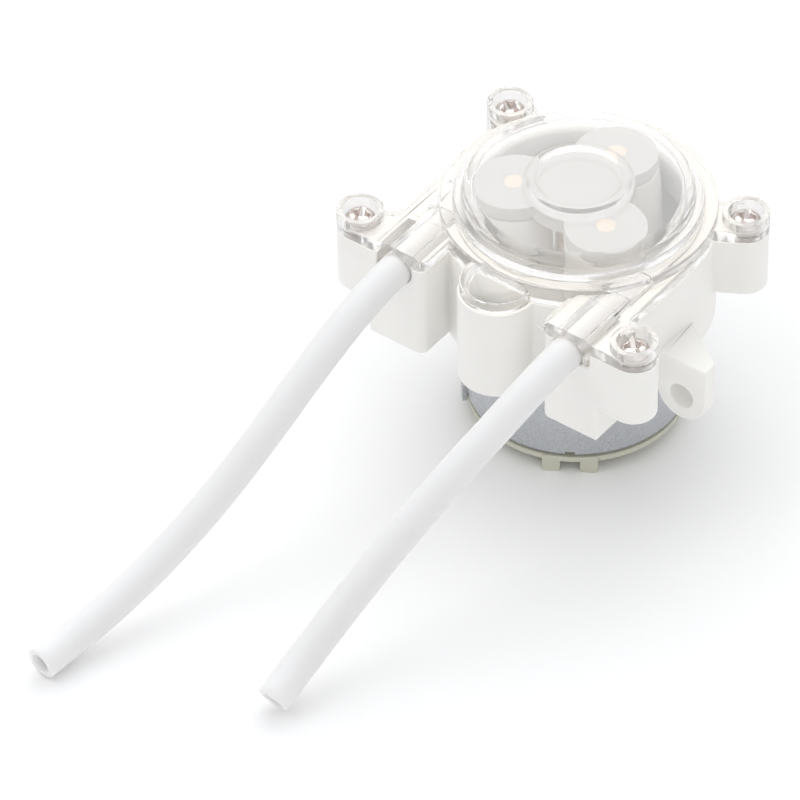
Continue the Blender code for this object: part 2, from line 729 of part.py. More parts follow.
def armature_core():
    """Three T-shaped poles on a hub."""
    shape = cylinder(3.2, *CORE, segments=SEGMENTS_SMALL)
    for i in range(POLE_COUNT):
        angle = 90 + 360 / POLE_COUNT * i
        tip = arc((0, 0), CORE_RADIUS - 1.8, angle - 50, angle + 50, 10)
        tip += arc((0, 0), CORE_RADIUS, angle + 50, angle - 50, 10)
        unite(shape, turn(box((0, CORE_RADIUS - 1), (-1.8, 1.8), CORE), radians(angle)))
        unite(shape, prism(tip, *CORE))
    return cut(shape, cylinder(SHAFT_RADIUS + GAP, 5, 20, segments=SEGMENTS_SMALL))


def winding(angle):
    """One coil: a rectangular ring round a pole's neck."""
    bottom, top = CORE
    shape = box((3.9, 8.7), (-4.3, 4.3), (bottom - 1.6, top + 1.6))
    cut(shape, box((3, 10), (-1.9, 1.9), (bottom - GAP, top + GAP)))
    return turn(shape, radians(angle))


def brush(side):
    return box((-1.0, 9.4), (side * 2.85, side * 3.15), (5.0, 6.2))


def terminal(side):
    return box((8.9, 11.1), (side * 3.25, side * 3.55), (0.4, 6.2))


# ---------------------------------------------------------------- assembly

WHITE_ABS = ((0.86, 0.85, 0.80), 0.38)
CLEAR_PLASTIC = ((0.95, 0.96, 0.96), 0.06, 0.0, 0.95)
SILICONE = ((0.87, 0.88, 0.89), 0.42, 0.0, 0.35)
WHITE_POM = ((0.90, 0.89, 0.86), 0.35)
NICKEL = ((0.72, 0.67, 0.62), 0.20, 1.0)
BRASS = ((0.72, 0.50, 0.22), 0.28, 1.0)
ZINC = ((0.56, 0.57, 0.58), 0.36, 0.9)
NATURAL_NYLON = ((0.80, 0.80, 0.66), 0.5)
STEEL = ((0.62, 0.62, 0.62), 0.25, 1.0)
IRON = ((0.30, 0.30, 0.31), 0.5, 0.9)
FERRITE = ((0.06, 0.06, 0.065), 0.7)
COPPER = ((0.75, 0.30, 0.13), 0.35, 1.0)
BRONZE = ((0.60, 0.42, 0.25), 0.45, 1.0)


def build_housing(parent):
    named(pump_base(), "pump_base", WHITE_ABS, parent)
    named(top_cover(), "top_cover", CLEAR_PLASTIC, parent)
    places = {
        "front_left": (-FRONT_BOSS[0], FRONT_BOSS[1]), "front_right": FRONT_BOSS,
        "back_left": (-BACK_BOSS[0], BACK_BOSS[1]), "back_right": BACK_BOSS,
    }
    for corner, place in places.items():
        named(cover_screw(place), "cover_screw_" + corner, NICKEL, parent)
    named(pump_tube(), "pump_tube", SILICONE, parent)
    hose("inlet_hose", INLET_ROUTE, parent)
    hose("outlet_hose", OUTLET_ROUTE, parent)


def build_rotor(parent):
    named(lower_carrier(), "lower_carrier", WHITE_POM, parent)
    named(upper_carrier(), "upper_carrier", WHITE_POM, parent)
    for number, centre in enumerate(roller_centres(), 1):
        axis = (*centre, 0)
        named(roller_pin(centre), f"roller_pin_{number}", BRASS, parent)
        named(roller(centre), f"roller_{number}", WHITE_POM, parent, axis)


def build_armature(parent):
    named(cylinder(SHAFT_RADIUS, *SHAFT_ENDS, segments=SEGMENTS_SMALL), "motor_shaft", STEEL, parent)
    sleeve = tube_ring(SLEEVE_RADIUS, SHAFT_RADIUS + GAP, 25.0, ROLLER_TOP)
    named(sleeve, "drive_sleeve", BRASS, parent)
    named(armature_core(), "armature_core", IRON, parent)
    for i in range(POLE_COUNT):
        named(winding(90 + 360 / POLE_COUNT * i), f"winding_{i + 1}", COPPER, parent)
    commutator = tube_ring(2.5, SHAFT_RADIUS + GAP, 4.7, 6.3, segments=SEGMENTS_SMALL)
    named(commutator, "commutator", COPPER, parent)


def build_motor(parent):
    named(motor_can(), "motor_can", ZINC, parent)
    named(motor_end_cap(), "motor_end_cap", NATURAL_NYLON, parent)
    named(bush(21.3, 24.3), "front_bush", BRONZE, parent)
    named(bush(1.9, 4.3), "rear_bush", BRONZE, parent)
    named(magnet(0), "magnet_right", FERRITE, parent)
    named(magnet(180), "magnet_left", FERRITE, parent)
    for name, side in (("front", -1), ("rear", 1)):
        named(brush(side), f"brush_{name}", COPPER, parent)
        named(terminal(side), f"terminal_{name}", BRASS, parent)
    for name, side in (("left", -1), ("right", 1)):
        fixing = screw(2.0, FLOOR_TOP + GAP, FLOOR_TOP + 1.0, 1.1, 20.6)
        fixing.data.transform(Matrix.Translation((side * MOTOR_SCREW_X, 0, 0)))
        named(fixing, f"motor_screw_{name}", NICKEL, parent)


def main():
    for old in list(bpy.data.objects):
        bpy.data.objects.remove(old)
    pump = empty("pump")
    rotor = empty("rotor_axis")
    armature = empty("armature_axis")
    rotor.parent = pump
    armature.parent = pump
    build_housing(pump)
    build_motor(pump)
    build_rotor(rotor)
    build_armature(armature)


main()
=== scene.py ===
"""The looks of the peristaltic pump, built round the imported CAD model.

Shapes are modelled in millimetres in the CAD's own frame, and piece() scales each finished one to metres.
"""

from math import asin, atan2, cos, degrees, hypot, pi, radians, sin, sqrt, tan

import bmesh
import bpy
from mathutils import Matrix, Vector


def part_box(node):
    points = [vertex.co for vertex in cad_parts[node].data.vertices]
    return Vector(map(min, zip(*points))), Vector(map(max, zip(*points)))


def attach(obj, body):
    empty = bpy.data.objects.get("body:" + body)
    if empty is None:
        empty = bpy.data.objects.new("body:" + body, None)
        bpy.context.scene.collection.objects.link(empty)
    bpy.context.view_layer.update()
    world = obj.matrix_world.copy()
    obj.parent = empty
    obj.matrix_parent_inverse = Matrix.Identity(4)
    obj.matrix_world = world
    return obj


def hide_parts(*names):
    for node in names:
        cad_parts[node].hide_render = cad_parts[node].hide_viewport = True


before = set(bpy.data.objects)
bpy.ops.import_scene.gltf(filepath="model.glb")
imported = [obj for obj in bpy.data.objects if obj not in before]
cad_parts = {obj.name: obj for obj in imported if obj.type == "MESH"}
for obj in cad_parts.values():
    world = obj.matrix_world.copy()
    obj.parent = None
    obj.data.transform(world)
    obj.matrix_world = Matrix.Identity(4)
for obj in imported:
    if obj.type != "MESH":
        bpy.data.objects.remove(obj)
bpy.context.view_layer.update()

MM = 0.001
GAP = 0.1


def span(node):
    """Lowest and highest z of a CAD node, in millimetres."""
    low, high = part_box(node)
    return low[2] / MM, high[2] / MM


# ---------------------------------------------------------------- sizes, in millimetres

# Base: the round body, and on each side a tube block, two screw bosses and an ear
BASE_LOW, BASE_TOP = 18.9, span("pump_base")[1]
BLOCK_LOW = 19.25
BOSS_LOW = 24.9
CHAMBER_LOW = 24.5
BODY_R = 19.55
CHAMBER_R = 17.4
WALL_X = BODY_R  # the outer side of each tube block runs straight forward from the round body
BLOCK_X = 10.2
BLOCK_CORNER = 1.3
BOSS_R = 3.34
BOSS_FILLET = 1.86
BOSS_SIDES = 64
BOSS_STEP = 360 / BOSS_SIDES
FRONT_BOSS = (23.4, -19.6)
BACK_BOSS = (20.35, 11.6)
BACK_BOSS_REACH = hypot(*BACK_BOSS)
BACK_BOSS_ANGLE = atan2(BACK_BOSS[1], BACK_BOSS[0])
FRONT_Y = FRONT_BOSS[1] - BOSS_R
SCREW_PLACES = {
    "front_left": (-FRONT_BOSS[0], FRONT_BOSS[1]), "front_right": FRONT_BOSS,
    "back_left": (-BACK_BOSS[0], BACK_BOSS[1]), "back_right": BACK_BOSS,
}
EAR_X, EAR_Z = 23.25, 18.5
EAR_R = 4.0
EAR_HOLE_R = 1.95
EAR_TOP = 24.8
EAR_FRONT = -7.8
EAR_TIP_BACK = -5.3
EAR_ROOT_BACK = -0.1

# Front lobe with its pocket
LOBE_Y = -19.2
LOBE_R = 5.6
POCKET_R = 4.2
POCKET_BACK = -18.3

# Tube, its slot and channel in the base, and the notch for the clamp's leg
TUBE_X = 14.6
TUBE_Z = 33.2
TUBE_R = 2.4
BORE_R = 1.4
TRACK_R = 16.1
FLAT = (2.2, 6.4)
SLOT_BACK = -11.0
CHANNEL_X = 11.6
CHANNEL_FRONT = -12.0
CHANNEL_LOW = 29.4
NOTCH_X = 18.2

# Cover
COVER_LOW = BASE_TOP + GAP
PLATE_TOP = 36.2
FLANGE_TOP = 37.5
FLANGE_UNDER = 37.2
STEP_R, STEP_TOP = 17.6, 38.7
DRUM_R, DRUM_TOP = 16.35, 41.2
DRUM_INNER_R, DRUM_UNDER = 15.1, 39.6
BEAD_OUTER_R, BEAD_INNER_R = 8.0, 5.5
BEAD_HEIGHT = 0.6
CLAMP_TOP = 36.8
CLAMP_BACK = -15.5
RIDGE_BACK = -7.0
LEG_LOW = 32.0
HOOD_R = 5.3
HOOD_TOP = 37.3
POCKET_TOP = 36.4
WELL_R, WELL_LOW = 2.5, 35.2

# Rotor
ROLLER_R = 5.7
ROLLER_PITCH = 9.0
ROLLER_LOW, ROLLER_TOP = span("roller_1")
PIN_R = 1.1
DISC_R = 13.0
SLEEVE_HOLE_R = 3.5
SPIDER_R = 7.6
SPIDER_LOBE_R = 5.8
SHAFT_TOP = span("motor_shaft")[1]
SHAFT_HOLE_R = 1.6

# Motor
CAN_R, CAN_INNER_R = 16.0, 15.0
CAN_LOW, CAN_TOP = 3.1, 22.4
CAN_ROOF = 21.2
NOSE_R, NOSE_TOP = 3.2, 24.0
BUSH_R = 2.6
CAP_R, CAP_SPIGOT_R, CAP_INNER_R = 15.9, 14.85, 13.6
CAP_RIM_LOW, CAP_RIM_TOP = 2.0, 3.0
MOTOR_SCREW_X = 8.5
KEY_ANGLE = radians(-58)
CRIMP_ANGLES = (209.0, 226.5)

# Routes of the free hoses, as in the CAD: straight out of the head, then down to the bare cut end
INLET_ROUTE = (
    (-14.6, -22.94, 33.2), (-14.6, -25.5, 33.1), (-14.85, -31.7, 31.6), (-15.4, -38.0, 28.8),
    (-16.1, -44.0, 25.3), (-17.2, -50.9, 20.5), (-18.95, -58.2, 14.9), (-20.45, -64.3, 11.0),
    (-22.0, -70.4, 7.7), (-23.7, -77.45, 4.9), (-25.15, -83.5, 3.2), (-26.05, -89.4, 2.5),
)
OUTLET_ROUTE = (
    (14.6, -22.94, 33.2), (14.6, -25.5, 33.1), (14.0, -32.0, 31.4), (12.9, -38.1, 28.6),
    (11.45, -44.3, 25.2), (9.8, -50.4, 21.1), (7.9, -56.55, 16.3), (6.05, -62.9, 11.0),
    (4.55, -69.2, 6.1), (3.9, -76.2, 2.5),
)


# ---------------------------------------------------------------- camera

def add_camera():
    """A long lens at the front right, above the pump; the target is off the picture's middle."""
    azimuth, elevation, roll = radians(37.617), radians(42.327), radians(-1.0)
    target, distance = Vector((0, 0, 35.11)), 842.8
    aside, below = 24.958, 26.295
    back = Vector((sin(azimuth) * cos(elevation), -cos(azimuth) * cos(elevation), sin(elevation)))
    level = Vector((cos(azimuth), sin(azimuth), 0))
    upright = back.cross(level)
    right = level * cos(roll) + upright * sin(roll)
    up = upright * cos(roll) - level * sin(roll)
    place = (target - aside * right - below * up + distance * back) * MM
    data = bpy.data.cameras.new("camera")
    data.lens = 271.4
    data.sensor_width = 36
    data.clip_end = 20
    camera = bpy.data.objects.new("camera", data)
    camera.matrix_world = Matrix((
        (right.x, up.x, back.x, place.x),
        (right.y, up.y, back.y, place.y),
        (right.z, up.z, back.z, place.z),
        (0, 0, 0, 1),
    ))
    bpy.context.scene.collection.objects.link(camera)
    bpy.context.scene.camera = camera


# ---------------------------------------------------------------- shapes

def object_from(bm):
    bmesh.ops.recalc_face_normals(bm, faces=bm.faces)
    mesh = bpy.data.meshes.new("shape")
    bm.to_mesh(mesh)
    bm.free()
    shape = bpy.data.objects.new("shape", mesh)
    bpy.context.scene.collection.objects.link(shape)
    return shape


def turned(profile, segments=96, centre=(0.0, 0.0)):
    """The solid that a closed outline of (radius, z) points sweeps round a vertical axis.

    Off the object's own axis the corners are turned by half a step, to keep them off other shapes' corners.
    """
    bm = bmesh.new()
    phase = 0.5 if any(centre) else 0
    rings = []
    for radius, z in profile:
        count = segments if radius > 0 else 1
        angles = [2 * pi * (i + phase) / segments for i in range(count)]
        rings.append([
            bm.verts.new((centre[0] + radius * cos(a), centre[1] + radius * sin(a), z)) for a in angles
        ])
    for lower, upper in zip(rings, rings[1:] + rings[:1]):
        for i in range(segments):
            corners = [
                lower[i % len(lower)], lower[(i + 1) % len(lower)],
                upper[(i + 1) % len(upper)], upper[i % len(upper)],
            ]
            corners = list(dict.fromkeys(corners))
            if len(corners) > 2:
                bm.faces.new(corners)
    return object_from(bm)


def cylinder(radius, low, high, centre=(0.0, 0.0), segments=64):
    return turned([(0, low), (radius, low), (radius, high), (0, high)], segments, centre)


def prism(outline, start, end, axis="Z"):
    """A flat outline extruded along Z, or, where the outline is in x and z, along Y."""
    bm = bmesh.new()
    if axis == "Z":
        corners = [bm.verts.new((x, y, start)) for x, y in outline]
        along = (0, 0, end - start)
    else:
        corners = [bm.verts.new((x, start, z)) for x, z in outline]
        along = (0, end - start, 0)
    face = bm.faces.new(corners)
    raised = bmesh.ops.extrude_face_region(bm, geom=[face])["geom"]
    bmesh.ops.translate(bm, vec=along, verts=[v for v in raised if isinstance(v, bmesh.types.BMVert)])
    return object_from(bm)


def box(xs, ys, zs):
    x0, x1 = sorted(xs)
    y0, y1 = sorted(ys)
    return prism([(x0, y0), (x1, y0), (x1, y1), (x0, y1)], *sorted(zs))


def arc(centre, radius, start, end, steps):
    """Points on a circle, from the start angle to the end angle in degrees."""
    angles = [radians(start + (end - start) * i / steps) for i in range(steps + 1)]
    return [(centre[0] + radius * cos(a), centre[1] + radius * sin(a)) for a in angles]


def rounded(profile, radii, steps=5):
    """The closed outline with each corner replaced by an arc of its radius, or kept where that is 0."""
    result = []
    count = len(profile)
    for i, radius in enumerate(radii):
        corner = Vector(profile[i])
        if radius == 0:
            result.append(tuple(corner))
            continue
        before = (Vector(profile[i - 1]) - corner).normalized()
        after = (Vector(profile[(i + 1) % count]) - corner).normalized()
        half = before.angle(after) / 2
        reach = radius / tan(half)
        middle = corner + (before + after).normalized() * (radius / sin(half))
        first = corner + before * reach - middle
        last = corner + after * reach - middle
        sweep = first.angle_signed(last)
        for k in range(steps + 1):
            spoke = first.copy()
            spoke.rotate(Matrix.Rotation(-sweep * k / steps, 2))
            result.append(tuple(middle + spoke))
    return result


def stacked(outline, radius, low, high, rounding, steps=6):
    """A prism whose outline is a function of a radius, with its top edge rounded over."""
    levels = [(0.0, low - high)]
    for k in range(steps + 1):
        angle = pi / 2 * k / steps
        levels.append((rounding * (1 - cos(angle)), rounding * (sin(angle) - 1)))
    bm = bmesh.new()
    rings = []
    for inset, fall in levels:
        rings.append([bm.verts.new((x, y, high + fall)) for x, y in outline(radius - inset)])
    for lower, upper in zip(rings, rings[1:]):
        for i in range(len(lower)):
            j = (i + 1) % len(lower)
            bm.faces.new((lower[i], lower[j], upper[j], upper[i]))
    bm.faces.new(rings[0])
    bm.faces.new(rings[-1])
    return object_from(bm)


def turn(shape, angle):
    shape.data.transform(Matrix.Rotation(angle, 4, "Z"))
    return shape


def moved(shape, *offset):
    shape.data.transform(Matrix.Translation(offset))
    return shape


def mirrored(shape):
    shape.data.transform(Matrix.Scale(-1, 4, (1, 0, 0)))
    shape.data.flip_normals()
    return shape


def apply_modifiers(shape):
    bpy.context.view_layer.update()
    graph = bpy.context.evaluated_depsgraph_get()
    mesh = bpy.data.meshes.new_from_object(shape.evaluated_get(graph))
    shape.modifiers.clear()
    shape.data = mesh


def combine(shape, tool, operation):
    modifier = shape.modifiers.new("combine", "BOOLEAN")
    modifier.operation = operation
    modifier.solver = "MANIFOLD"
    modifier.object = tool
    apply_modifiers(shape)
    bpy.data.objects.remove(tool)


def unite(shape, *tools):
    for tool in tools:
        combine(shape, tool, "UNION")


def cut(shape, *tools):
    for tool in tools:
        combine(shape, tool, "DIFFERENCE")


def soften(shape, width, segments=3, angle=32, seams=(0,)):
    """Rounds the edges that are sharper than the angle, as moulding leaves them.

    The flat triangles that the Booleans leave are joined first. Each hole lies on one of the seams, which
    are x values, so that no joined face has a hole in it.
    """
    bm = bmesh.new()
    bm.from_mesh(shape.data)
    bmesh.ops.remove_doubles(bm, verts=bm.verts, dist=1e-4)
    for x in sorted({sign * x for x in seams for sign in (-1, 1)}):
        sliced = bmesh.ops.bisect_plane(
            bm, geom=[*bm.verts, *bm.edges, *bm.faces], dist=1e-4, plane_co=(x, 0, 0), plane_no=(1, 0, 0),
        )
        for edge in sliced["geom_cut"]:
            if isinstance(edge, bmesh.types.BMEdge):
                edge.seam = True
    bmesh.ops.dissolve_limit(
        bm, angle_limit=radians(0.5), verts=bm.verts, edges=bm.edges, delimit={"SEAM"},
    )
    bm.to_mesh(shape.data)
    bm.free()
    modifier = shape.modifiers.new("round", "BEVEL")
    modifier.width = width
    modifier.segments = segments
    modifier.limit_method = "ANGLE"
    modifier.angle_limit = radians(angle)
    modifier.use_clamp_overlap = False
    modifier.miter_outer = "MITER_ARC"
    apply_modifiers(shape)


def piece(shape, name, finish, body, node, sharp=40, weighted=True):
    """Turns a finished shape into a named piece in metres, riding a body in place of its CAD node."""
    shape.name = name
    shape.data.name = name
    shape.data.transform(Matrix.Scale(MM, 4))
    shape.data.materials.clear()
    shape.data.materials.append(finish)
    shape.data.shade_smooth()
    shape.data.set_sharp_from_angle(angle=radians(sharp))
    if weighted:
        modifier = shape.modifiers.new("normals", "WEIGHTED_NORMAL")
        modifier.keep_sharp = True
        modifier.weight = 100
    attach(shape, body)
    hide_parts(node)
    return shape


# ---------------------------------------------------------------- materials

def new_material(name):
    """(material, node tree, Principled node, object-space texture coordinates)"""
    made = bpy.data.materials.new(name)
    made.use_nodes = True
    tree = made.node_tree
    shader = tree.nodes["Principled BSDF"]
    coordinates = tree.nodes.new("ShaderNodeTexCoord").outputs["Object"]
    return made, tree, shader, coordinates


def noise(tree, coordinates, scale, detail=3.0, roughness=0.5):
    node = tree.nodes.new("ShaderNodeTexNoise")
    node.inputs["Scale"].default_value = scale
    node.inputs["Detail"].default_value = detail
    node.inputs["Roughness"].default_value = roughness
    tree.links.new(coordinates, node.inputs["Vector"])
    return node.outputs["Fac"]


def ramp(tree, value, stops):
    """A colour that runs between two stops, each a position and a colour."""
    node = tree.nodes.new("ShaderNodeValToRGB")
    for element, (position, colour) in zip(node.color_ramp.elements, stops):
        element.position = position
        element.color = (*colour, 1)
    tree.links.new(value, node.inputs["Fac"])
    return node.outputs["Color"]


def spread(tree, value, low, high):
    """A noise value spread over the range from low to high."""
    node = tree.nodes.new("ShaderNodeMapRange")
    node.inputs["From Min"].default_value = 0.3
    node.inputs["From Max"].default_value = 0.7
    node.inputs["To Min"].default_value = low
    node.inputs["To Max"].default_value = high
    tree.links.new(value, node.inputs["Value"])
    return node.outputs["Result"]


def bump(tree, shader, height, distance, strength=1.0):
    node = tree.nodes.new("ShaderNodeBump")
    node.inputs["Strength"].default_value = strength
    node.inputs["Distance"].default_value = distance
    tree.links.new(height, node.inputs["Height"])
    tree.links.new(node.outputs["Normal"], shader.inputs["Normal"])


def varied(colour, amount):
    """Two colours a little darker and a little lighter than one."""
    return [tuple(max(0, min(1, c * (1 + s * amount))) for c in colour) for s in (-1, 1)]


def moulded_plastic(name, colour, roughness=0.38, variation=0.006, subsurface=0.0):
    """Satin moulded plastic: faint cloudiness in its colour, uneven gloss and a fine spark-eroded grain."""
    made, tree, shader, where = new_material(name)
    dark, light = varied(colour, variation)
    cloud = noise(tree, where, 180, 4)
    tree.links.new(ramp(tree, cloud, [(0.3, dark), (0.7, light)]), shader.inputs["Base Color"])
    gloss = noise(tree, where, 900, 3)
    tree.links.new(spread(tree, gloss, roughness - 0.02, roughness + 0.03), shader.inputs["Roughness"])
    bump(tree, shader, noise(tree, where, 5000, 2), 1.2e-6)
    shader.inputs["IOR"].default_value = 1.5
    shader.inputs["Subsurface Weight"].default_value = subsurface
    shader.inputs["Subsurface Scale"].default_value = 0.0012
    shader.inputs["Subsurface Radius"].default_value = (1.0, 0.9, 0.8)
    return made


def clear_plastic():
    """Clear moulded plastic with the faint flow waves of its moulding."""
    made, tree, shader, where = new_material("clear_plastic")
    waves = noise(tree, where, 120, 2)
    tint = ramp(tree, waves, [(0.3, (0.975, 0.98, 0.985)), (0.7, (0.99, 0.99, 0.995))])
    tree.links.new(tint, shader.inputs["Base Color"])
    tree.links.new(spread(tree, noise(tree, where, 300, 2), 0.02, 0.04), shader.inputs["Roughness"])
    bump(tree, shader, waves, 2.0e-5, 0.5)
    shader.inputs["IOR"].default_value = 1.5
    shader.inputs["Transmission Weight"].default_value = 0.85
    let_light_through(tree, shader, (1.0, 0.98, 0.95))
    return made


def let_light_through(tree, shader, colour):
    """Lets the light of the lamps and of the surroundings reach what is behind the thin plastic."""
    path = tree.nodes.new("ShaderNodeLightPath")
    passing = tree.nodes.new("ShaderNodeBsdfTransparent")
    passing.inputs["Color"].default_value = (*colour, 1)
    either = tree.nodes.new("ShaderNodeMath")
    either.operation = "MAXIMUM"
    mix = tree.nodes.new("ShaderNodeMixShader")
    output = tree.nodes["Material Output"]
    tree.links.new(path.outputs["Is Shadow Ray"], either.inputs[0])
    tree.links.new(path.outputs["Is Diffuse Ray"], either.inputs[1])
    tree.links.new(either.outputs["Value"], mix.inputs["Fac"])
    tree.links.new(shader.outputs["BSDF"], mix.inputs[1])
    tree.links.new(passing.outputs["BSDF"], mix.inputs[2])
    tree.links.new(mix.outputs["Shader"], output.inputs["Surface"])


def silicone():
    """Milky silicone: faintly cloudy, with a matte and finely uneven skin that light soaks into."""
    made, tree, shader, where = new_material("silicone")
    cloud = noise(tree, where, 350, 5, 0.6)
    tint = ramp(tree, cloud, [(0.3, (0.96, 0.963, 0.972)), (0.7, (0.98, 0.983, 0.99))])
    tree.links.new(tint, shader.inputs["Base Color"])
    tree.links.new(spread(tree, noise(tree, where, 1500, 3), 0.34, 0.5), shader.inputs["Roughness"])
    bump(tree, shader, noise(tree, where, 2200, 4), 6.0e-6)
    shader.inputs["IOR"].default_value = 1.41
    shader.inputs["Transmission Weight"].default_value = 0.06
    shader.inputs["Subsurface Weight"].default_value = 0.8
    shader.inputs["Subsurface Scale"].default_value = 0.0014
    shader.inputs["Subsurface Radius"].default_value = (1.0, 1.0, 1.0)
    return made


def metal(name, colour, roughness, variation=0.06, speckle=3500, relief=3.0e-6, metallic=1.0):
    """Plated or turned metal with a fine speckle in its colour, gloss and surface."""
    made, tree, shader, where = new_material(name)
    dark, light = varied(colour, variation)
    fine = noise(tree, where, speckle, 4, 0.65)
    tree.links.new(ramp(tree, fine, [(0.35, dark), (0.65, light)]), shader.inputs["Base Color"])
    gloss = noise(tree, where, speckle / 3, 4)
    tree.links.new(spread(tree, gloss, roughness * 0.75, roughness * 1.3), shader.inputs["Roughness"])
    bump(tree, shader, fine, relief)
    shader.inputs["Metallic"].default_value = metallic
    return made


WHITE_ABS = moulded_plastic("white_abs", (0.93, 0.923, 0.895), subsurface=0.15)
WHITE_POM = moulded_plastic("white_pom", (0.84, 0.83, 0.81), 0.3, subsurface=0.1)
GREY_POM = moulded_plastic("grey_white_pom", (0.59, 0.59, 0.59), 0.3, subsurface=0.1)
NYLON = moulded_plastic("natural_nylon", (0.62, 0.62, 0.52), 0.5, 0.02)
CLEAR = clear_plastic()
SILICONE = silicone()
NICKEL = metal("nickel", (0.75, 0.70, 0.67), 0.09, 0.03, 2500, 0.5e-6)
ZINC = metal("zinc_plate", (0.53, 0.545, 0.57), 0.3, 0.09, 4200, 3.0e-6)
BRASS = metal("brass", (0.78, 0.55, 0.25), 0.25)
PALE_BRASS = metal("pale_brass", (0.84, 0.74, 0.64), 0.5, 0.03, metallic=0.3)
STEEL = metal("steel", (0.62, 0.62, 0.63), 0.22, 0.04)
IRON = metal("iron_laminations", (0.30, 0.30, 0.31), 0.45)
FERRITE = moulded_plastic("ferrite", (0.06, 0.06, 0.065), 0.6, 0.2)
COPPER = metal("copper", (0.76, 0.34, 0.17), 0.32)
BRONZE = metal("bronze", (0.60, 0.42, 0.25), 0.42)


# ---------------------------------------------------------------- hoses and tube

def smooth_route(route, step):
    """Evenly spaced points of the Catmull-Rom curve through the route's points."""
    points = [Vector(p) for p in route]
    points = [2 * points[0] - points[1], *points, 2 * points[-1] - points[-2]]
    fine = []
    for a, b, c, d in zip(points, points[1:], points[2:], points[3:]):
        for i in range(20):
            t = i / 20
            square = (2 * a - 5 * b + 4 * c - d) * t * t
            cube = (3 * b - a - 3 * c + d) * t ** 3
            fine.append(0.5 * (2 * b + (c - a) * t + square + cube))
    fine.append(points[-2])
    lengths = [0.0]
    for a, b in zip(fine, fine[1:]):
        lengths.append(lengths[-1] + (b - a).length)
    count = round(lengths[-1] / step) + 1
    even = []
    for i in range(count):
        wanted = lengths[-1] * i / (count - 1)
        k = max(j for j in range(len(lengths) - 1) if lengths[j] <= wanted)
        share = (wanted - lengths[k]) / (lengths[k + 1] - lengths[k])
        even.append(fine[k].lerp(fine[k + 1], share))
    return even


def swept_tube(outer_rings, inner_rings):
    """A tube with a bore, from matching rings of points, closed by a flat ring at each end."""
    bm = bmesh.new()
    outer = [[bm.verts.new(p) for p in ring] for ring in outer_rings]
    inner = [[bm.verts.new(p) for p in ring] for ring in inner_rings]
    sides = len(outer[0])
    for rings in (outer, inner):
        for first, second in zip(rings, rings[1:]):
            for i in range(sides):
                j = (i + 1) % sides
                bm.faces.new((first[i], first[j], second[j], second[i]))
    for end in (0, -1):
        for i in range(sides):
            j = (i + 1) % sides
            bm.faces.new((outer[end][i], outer[end][j], inner[end][j], inner[end][i]))
    return object_from(bm)


def circle_at(centre, along, radius, sides=48):
    side = along.cross(Vector((0, 0, 1))).normalized()
    up = side.cross(along).normalized()
    angles = [2 * pi * i / sides for i in range(sides)]
    return [centre + radius * (cos(a) * side + sin(a) * up) for a in angles]


def hose(name, route):
    """A free hose with a bore and a bare cut end, its rim softened."""
    points = smooth_route(route, 1.2)
    directions = []
    for i in range(len(points)):
        directions.append((points[min(i + 1, len(points) - 1)] - points[max(i - 1, 0)]).normalized())
    directions[0] = Vector((0, -1, 0))
    rim = 0.18
    outer = [circle_at(p, d, TUBE_R) for p, d in zip(points, directions)]
    inner = [circle_at(p, d, BORE_R) for p, d in zip(points, directions)]
    end, heading = points[-1], directions[-1]
    outer[-1] = circle_at(end - heading * rim, heading, TUBE_R)
    inner[-1] = circle_at(end - heading * rim, heading, BORE_R)
    outer.append(circle_at(end, heading, TUBE_R - rim))
    inner.append(circle_at(end, heading, BORE_R + rim))
    tube = swept_tube(outer, inner)
    made = piece(tube, name + "_tube", SILICONE, "housing", name, weighted=False, sharp=60)
    path = [tuple(p * MM) for p in points]
    length = sum((b - a).length for a, b in zip(points, points[1:])) * MM
    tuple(path[0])


def blend(distance):
    """0 where the tube is flat, 1 where it is round, with a smooth step between."""
    start, end = 3.0, 11.0
    share = min(max((distance - start) / (end - start), 0), 1)
    return share * share * (3 - 2 * share)


def section(centre, outward, width, height, sides=48):
    """A ring of points on a flat-sided oval that stands upright across the tube."""
    radius = width / 2
    straight = height / 2 - radius
    points = []
    for i in range(sides):
        angle = 2 * pi * (i + 0.5) / sides
        rise = radius * sin(angle) + (straight if sin(angle) > 0 else -straight)
        points.append(centre + outward * (radius * cos(angle)) + Vector((0, 0, rise)))
    return points


def tube_stations():
    """Centre, outward direction, width and height of the tube's section along its loop through the head."""
    right = Vector((1, 0, 0))
    straight = []
    steps = 34
    for i in range(steps):
        y = FRONT_Y * (1 - i / steps)
        share = blend(-y)
        x = TRACK_R + (TUBE_X - TRACK_R) * share
        width = FLAT[0] + (2 * TUBE_R - FLAT[0]) * share
        height = FLAT[1] + (2 * TUBE_R - FLAT[1]) * share
        straight.append((x, y, width, height))
    stations = [(Vector((-x, y, TUBE_Z)), -right, w, h) for x, y, w, h in straight]
    turns = 60
    for i in range(turns + 1):
        angle = pi - pi * i / turns
        outward = Vector((cos(angle), sin(angle), 0))
        stations.append((outward * TRACK_R + Vector((0, 0, TUBE_Z)), outward, *FLAT))
    stations += [(Vector((x, y, TUBE_Z)), right, w, h) for x, y, w, h in reversed(straight)]
    return stations


def pump_tube():
    """The tube inside the head, nearly closed along the roller track."""
    walls = 2 * (TUBE_R - BORE_R)
    outer = []
    inner = []
    for centre, outward, width, height in tube_stations():
        outer.append(section(centre, outward, width, height))
        inner.append(section(centre, outward, max(width - walls, 0.24), height - walls))
    tube = swept_tube(outer, inner)
    piece(tube, "squeezed_tube", SILICONE, "housing", "pump_tube", weighted=False, sharp=60)


# ---------------------------------------------------------------- housing in plan

